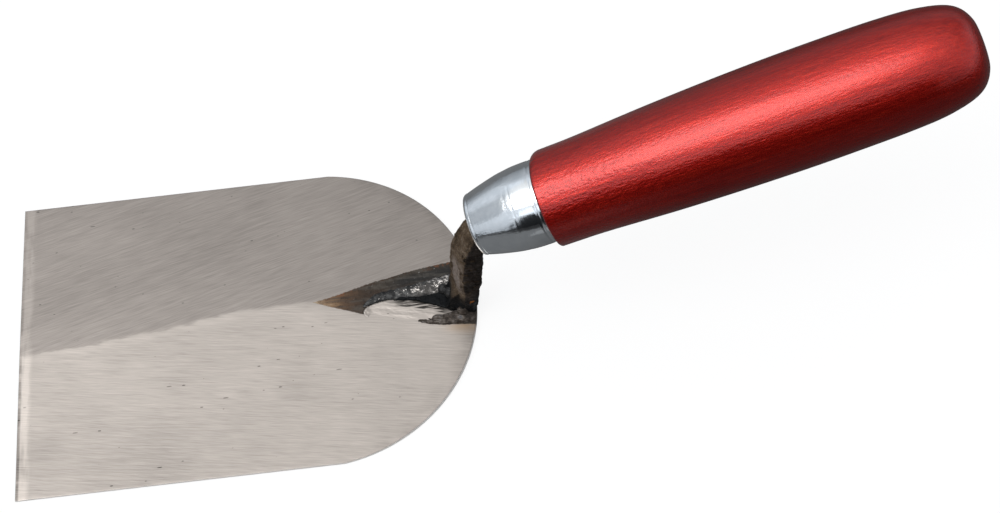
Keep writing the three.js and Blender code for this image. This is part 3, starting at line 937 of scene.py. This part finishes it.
def worked(name, shapes, voxel, finish, smooth_steps, shift, sculpt=None):
    """Closed shapes run together on a fine grid, eased, and then moved point by point."""
    vertices, faces = [], []
    for shape_vertices, shape_faces in shapes:
        first = len(vertices)
        vertices += [sculpt(Vector(v)) if sculpt else v for v in shape_vertices]
        faces += [tuple(first + v for v in face) for face in shape_faces]
    rough = make_piece(name + "_rough", vertices, faces, finish)
    remesh = rough.modifiers.new("remesh", "REMESH")
    remesh.mode = "VOXEL"
    remesh.voxel_size = voxel * MM
    ease = rough.modifiers.new("ease", "SMOOTH")
    ease.factor = 0.5
    ease.iterations = smooth_steps
    bpy.context.view_layer.update()
    graph = bpy.context.evaluated_depsgraph_get()
    mesh = bpy.data.meshes.new_from_object(rough.evaluated_get(graph))
    bpy.data.objects.remove(rough)
    mesh.name = name
    mesh.materials.clear()
    mesh.materials.append(finish)
    moves = [shift(vertex.co / MM, vertex.normal.copy()) * MM for vertex in mesh.vertices]
    for vertex, move in zip(mesh.vertices, moves):
        vertex.co += move
    mesh.shade_smooth()
    piece = bpy.data.objects.new(name, mesh)
    bpy.context.scene.collection.objects.link(piece)
    return piece


def tang_local(at):
    """Along and across the tang's own vertical plane, x back from the handle's front face."""
    x, y = at.x - HANDLE_FRONT.x, at.y
    along = x * math.cos(HANDLE_YAW) + y * math.sin(HANDLE_YAW)
    across = y * math.cos(HANDLE_YAW) - x * math.sin(HANDLE_YAW)
    return along, across


# The neck's front and back faces, as (z, along).
NECK_FRONT = [
    (2.6, -30.4), (12, -30.2), (20, -30.1), (26, -29.8), (33, -28.9), (38.5, -27.6), (43.2, -25.4),
    (47.2, -22.4),
]
NECK_BACK = [(2.6, -24.4), (12, -22.9), (21, -21.4), (31, -20.4), (38, -19.9), (41.4, -18.6), (44.4, -16)]


def tang_sculpt(at):
    """Turns the neck's front face a little towards the near side."""
    along, across = tang_local(at)
    x, z = at.x, at.z
    if z < 50 and along < -12 and (x > 43 or z > 14):
        front, back = follow(NECK_FRONT, z), follow(NECK_BACK, z)
        ahead = clamp((back - along) / (back - front))
        x += (
            2.2 * ahead * clamp((3.2 - across) / 7.2)
            * smoothstep(5, 11, z) * (1 - 0.6 * smoothstep(40, 49, z))
        )
    return (x, at.y, z)


def tang_shift(at, out):
    """Hammered and flaky, and hollowed beside the far weld. The spike inside the handle stays as it is."""
    if at.x > 66:
        return Vector((0, 0, 0))
    cell = Vector((at.x / 2.2, at.y / 2.6, at.z / 3.4)) + 0.8 * noise.noise_vector(at / 2.5)
    flake = noise.cell(cell) - 0.5
    bumps = (
        0.22 * ripple(at.x, at.y, at.z, 5, 1) + 0.17 * ripple(at.x, at.y, at.z, 1.8, 2)
        + 0.1 * ripple(at.x, at.y, at.z, 0.8, 3)
    )
    hollow = smoothstep(26, 30, at.x) * (1 - smoothstep(40.5, 43.5, at.x)) * smoothstep(5.2, 4.2, at.y)
    move = out * (bumps + 0.2 * flake + 0.22) + sink(at)
    move.z -= 0.85 * hollow * max(0, at.z - 3.0)
    return move


def sink(at):
    """Down onto the blade, over the clearance that the CAD solids keep."""
    return Vector((0, 0, -0.5 * smoothstep(4.0, 2.7, at.z)))


def weld_shift(at, out):
    """Lumps, and the curved ripples that a weld bead sets in."""
    ripple_at = at.x - 0.2 * (at.y - 4) ** 2 + 0.8 * ripple(at.x, at.y, 0, 3)
    bead = 0.1 * math.sin(2 * math.pi * ripple_at / 2.6)
    bumps = (
        0.34 * ripple(at.x, at.y, at.z, 2.6, 4) + 0.13 * ripple(at.x, at.y, at.z, 1.1, 5)
        + 0.05 * ripple(at.x, at.y, at.z, 0.55, 6)
    )
    return out * (bumps + bead * max(0, out.z))


def ground_weld_shift(at, out):
    """Streaks left by the grinding, and an uneven rim at the left."""
    streak = 0.06 * ripple(at.x * 0.16, at.y + 0.25 * at.x, at.z, 1.2, 6)
    fine = 0.03 * ripple(at.x * 0.5, at.y * 1.5 + 0.4 * at.x, at.z, 0.6, 8)
    rim = 0.08 * ripple(at.x, at.y, 0, 0.8, 9) * smoothstep(18.5, 16.5, at.x)
    return out * (streak + fine + rim)


# The two raised weld beads, as (x, near y, far y, top z). They start inside the blade.
BEAD_BASE = 1.9
FAR_BEAD = [
    (15.5, 0.2, 1.0, 2.5), (16.6, 0.3, 2.2, 3.0), (18.5, 0.9, 3.6, 3.4), (21, 1.3, 4.6, 3.6),
    (24, 1.5, 4.9, 3.7), (27, 1.4, 5.3, 3.8), (30.5, 1.4, 5.8, 4.0), (34, 1.2, 6.5, 4.2),
    (38, 1.1, 7.2, 4.4), (41.5, 1.3, 7.8, 4.8), (44, 2.2, 7.2, 5.0), (45.4, 3.0, 6.0, 4.4),
]
HEEL_BEAD = [
    (31.4, -7.1, -6.95, 2.3), (33.6, -7.5, -6.8, 2.5), (35.8, -8.1, -6.6, 2.9), (37.3, -8.5, -5.4, 3.4),
    (40, -8.8, -5.3, 3.5), (43, -8.9, -4.7, 3.7), (45, -8.9, -3.7, 4.2), (46.8, -8.8, -4.2, 4.2),
    (48.3, -8.5, -4.8, 3.5), (49.3, -7.8, -5.4, 2.6),
]


def ground_patch():
    """The near weld, ground almost level with the facet beside it, as vertices and faces."""
    vertices, faces = [], []
    steps, segments = 130, 34
    for i in range(steps + 1):
        x = lerp(15.25, 45.8, i / steps)
        low, high = follow(GROUND_LOW, x) - 0.5, follow(GROUND_HIGH, x)
        vertices.append((x, low, 1.5))
        for k in range(segments + 1):
            y = lerp(low, high, k / segments)
            edge = min(high - y, 1.4 * (x - 15.2), 46 - x)
            drawn = 0.35 * (1 - smoothstep(0, 0.45, edge))
            z = 2.24 + 0.085 * (y - low - 0.5) + 0.25 * smoothstep(18, 15.6, x) - drawn
            vertices.append((x, y, z))
        vertices.append((x, high + 0.05, 1.5))
    ring = segments + 3  # the top's points and one on each side below
    for i in range(steps):
        for k in range(ring):
            n = (k + 1) % ring
            faces.append((i * ring + k, i * ring + n, (i + 1) * ring + n, (i + 1) * ring + k))
    faces.append(tuple(range(ring))[::-1])
    faces.append(tuple(steps * ring + k for k in range(ring)))
    return vertices, faces


# ---- Assembly ----

bpy.context.scene.view_settings.view_transform = "Standard"
make_camera()
make_world()
make_floor()

place(make_blade(ground_steel("ground_steel_blade", True)), "ground_steel", "blade")
place(make_handle(lacquered_wood("red_lacquer")), "lacquered_wood", "handle")
place(make_ferrule(plated_steel("plating")), "plated_steel", "ferrule")
place(
    worked("forged_tang", [cad_shape("tang")], 0.3, forge_scale("forge_scale"), 1, tang_shift, tang_sculpt),
    "forge_scale", "tang",
)
far_shapes = [
    ridge(FAR_BEAD, BEAD_BASE, 0.45),
    drop(40.7, 1.6, 5.9, 1.7, 1.6, 1.9),
    drop(42.7, -0.7, 7.2, 1.9, 1.7, 2.4),
    drop(44.4, -3.3, 7.2, 1.7, 1.4, 2.6),
]
dark_tones = [srgb(24, 24, 24), srgb(50, 50, 50), srgb(84, 84, 83), srgb(68, 61, 55)]
brown_tones = [srgb(38, 33, 29), srgb(68, 59, 52), srgb(104, 97, 91), srgb(84, 83, 86)]
place(
    worked("far_bead", far_shapes, 0.2, weld_metal("weld_far_metal", dark_tones, True), 2, weld_shift),
    "weld_metal", "weld_far",
)
heel_shapes = [
    ridge(HEEL_BEAD, BEAD_BASE),
    drop(38.2, -6.6, 3.2, 1.9, 1.1, 0.7),
    drop(45.8, -6.1, 5.2, 1.9, 1.4, 2.2),
]
place(
    worked("heel_bead", heel_shapes, 0.2, weld_metal("weld_heel_metal", brown_tones, False), 2, weld_shift),
    "weld_metal", "weld_heel",
)
place(
    worked("ground_bead", [ground_patch()], 0.18, ground_steel("ground_weld", False), 1, ground_weld_shift),
    "ground_steel", "weld_ground",
)
